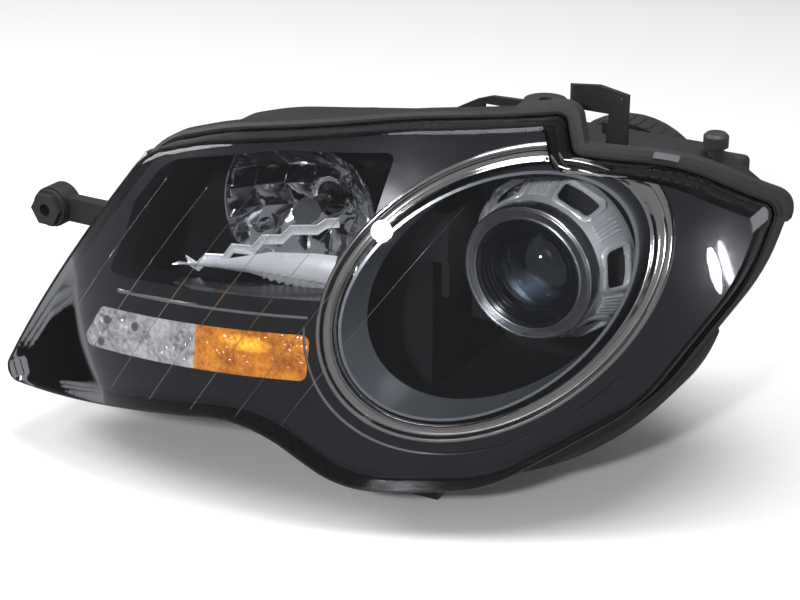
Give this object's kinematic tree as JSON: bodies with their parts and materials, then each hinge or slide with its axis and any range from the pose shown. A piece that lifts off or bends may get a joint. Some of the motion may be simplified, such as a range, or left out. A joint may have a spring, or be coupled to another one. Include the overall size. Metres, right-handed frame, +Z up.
{
  "type": "car headlight assembly",
  "caption": "Left front headlight: clear wrapped lens, black housing, round projector low beam in a chrome ring, faceted high beam, amber indicator strip, aiming gear and bolt-on ears.",
  "frame": {"origin": "centre of the top bolt hole, on the upper face of its bush", "axes": "+Z up along the top bolt, -Y forward out of the lens, +X outboard (towards the car's side)"},
  "size_m": [0.5164, 0.3406, 0.281],
  "materials": {
    "housing_plastic": "moulded black polypropylene",
    "clear_lens": "clear hard-coated polycarbonate",
    "sealant": "butyl sealant",
    "seal_rubber": "matte rubber",
    "clip_steel": "zinc plated",
    "bezel_black": "gloss black moulding",
    "silver_trim": "satin silver coated plastic",
    "chrome_trim": "bright vacuum metallised",
    "dark_reflective": "dark metallised plastic",
    "clear_inner": "clear ribbed inner lens",
    "amber": "amber filter",
    "reflector": "vacuum metallised reflector",
    "socket_plastic": "black engineering plastic",
    "bulb_amber": "amber coated bulb glass",
    "projector_glass": "polished aspheric glass",
    "satin_ring": "satin silver ring",
    "cast_carrier": "die-cast aluminium",
    "steel_sheet": "pressed steel",
    "bulb_glass": "clear quartz with metal base",
    "white_plastic": "natural acetal",
    "frame_plastic": "grey glass-filled nylon",
    "knob_plastic": "black nylon",
    "cover_plastic": "black moulded cap",
    "brass_pins": "tinned brass",
    "bush_plastic": "black nylon bush"
  },
  "bodies": {
    "root": {"housing": "housing_plastic", "lens": "clear_lens", "lens_sealant": "sealant", "top_seal": "seal_rubber", "flange_clips": "clip_steel", "bezel": "bezel_black", "high_beam_blade": "silver_trim", "bezel_trim": "chrome_trim", "bezel_ring": "chrome_trim", "low_beam_surround": "dark_reflective", "indicator_lens": "clear_inner", "amber_lens": "amber", "indicator_tray": "reflector", "indicator_screws": "clip_steel", "pivot_stud": "steel_sheet", "level_motor": "socket_plastic", "lateral_drive": "frame_plastic", "connector": "socket_plastic", "connector_pins": "brass_pins", "breather": "seal_rubber", "top_bush": "bush_plastic"},
    "yaw_socket": {"pivot_socket": "white_plastic"},
    "lamp_frame": {"aim_frame": "frame_plastic", "projector_lens": "projector_glass", "projector_lens_ring": "satin_ring", "projector_shroud": "silver_trim", "projector_carrier": "cast_carrier", "cutoff_shield": "steel_sheet", "projector_reflector": "reflector", "projector_screws": "clip_steel", "low_beam_bulb": "bulb_glass", "low_beam_plug": "socket_plastic", "high_beam_reflector": "reflector", "high_beam_bulb": "bulb_glass", "high_beam_plug": "socket_plastic", "glare_shield": "steel_sheet", "position_bulb": "bulb_glass", "position_socket": "socket_plastic"},
    "low_clip": {"low_beam_clip": "clip_steel"},
    "high_clip": {"high_beam_clip": "clip_steel"},
    "rod": {"level_rod": "white_plastic"},
    "lateral_screw": {"lateral_aim_screw": "white_plastic"},
    "lateral_knob": {"lateral_aim_knob": "knob_plastic"},
    "vertical_knob": {"vertical_aim_knob": "knob_plastic"},
    "low_cover": {"low_beam_cover": "cover_plastic", "low_beam_cover_seal": "seal_rubber"},
    "high_cover": {"high_beam_cover": "cover_plastic", "high_beam_cover_seal": "seal_rubber"},
    "indicator_holder": {"indicator_socket": "socket_plastic", "indicator_bulb": "bulb_amber"},
    "ear_adjuster": {"ear_bush": "bush_plastic"}
  },
  "joints": [
    {"name": "aim_yaw", "type": "hinge", "parent": "root", "child": "yaw_socket", "pos_m": [-0.051, 0.027, -0.067], "axis": [0, 0, 1], "range_deg": [-1.5, 1.5]},
    {"name": "aim_pitch", "type": "hinge", "parent": "yaw_socket", "child": "lamp_frame", "pos_m": [-0.051, 0.027, -0.067], "axis": [1, 0, 0], "range_deg": [-2, 2]},
    {"name": "level_slide", "type": "slide", "parent": "root", "child": "rod", "axis": [0, 1, 0], "range_m": [-0.004, 0.004]},
    {"name": "lateral_slide", "type": "slide", "parent": "root", "child": "lateral_screw", "axis": [0, 1, 0], "range_m": [-0.0043, 0.0043]},
    {"name": "lateral_knob_turn", "type": "hinge", "parent": "root", "child": "lateral_knob", "pos_m": [0.101, 0.067, -0.039], "axis": [0, 0, 1], "range_deg": [-185, 185]},
    {"name": "vertical_knob_turn", "type": "hinge", "parent": "root", "child": "vertical_knob", "pos_m": [0.039, 0.027, -0.029], "axis": [0, 0, 1], "range_deg": [-185, 185]},
    {"name": "low_clip_swing", "type": "hinge", "parent": "lamp_frame", "child": "low_clip", "pos_m": [0.015, 0.0733, -0.133], "axis": [-1, 0, 0], "range_deg": [0, 60]},
    {"name": "high_clip_swing", "type": "hinge", "parent": "lamp_frame", "child": "high_clip", "pos_m": [-0.139, -0.0457, -0.099], "axis": [-1, 0, 0], "range_deg": [0, 60]},
    {"name": "low_cover_turn", "type": "hinge", "parent": "root", "child": "low_cover", "pos_m": [0.015, 0.125, -0.109], "axis": [0, 1, 0], "range_deg": [0, 30]},
    {"name": "high_cover_turn", "type": "hinge", "parent": "root", "child": "high_cover", "pos_m": [-0.139, 0.009, -0.079], "axis": [0, 1, 0], "range_deg": [0, 30]},
    {"name": "indicator_turn", "type": "hinge", "parent": "root", "child": "indicator_holder", "pos_m": [-0.141, -0.13, -0.156], "axis": [0, 1, 0], "range_deg": [0, 45]},
    {"name": "ear_bush_turn", "type": "hinge", "parent": "root", "child": "ear_adjuster", "pos_m": [-0.331, -0.133, -0.097], "axis": [0, 1, 0], "range_deg": [-180, 180]}
  ],
  "couplings": [
    {"joint": "level_slide", "follows": "aim_pitch", "m_per_rad": 0.104},
    {"joint": "lateral_slide", "follows": "aim_yaw", "m_per_rad": 0.152},
    {"joint": "lateral_knob_turn", "follows": "aim_yaw", "ratio": 120},
    {"joint": "vertical_knob_turn", "follows": "aim_pitch", "ratio": 90}
  ]
}
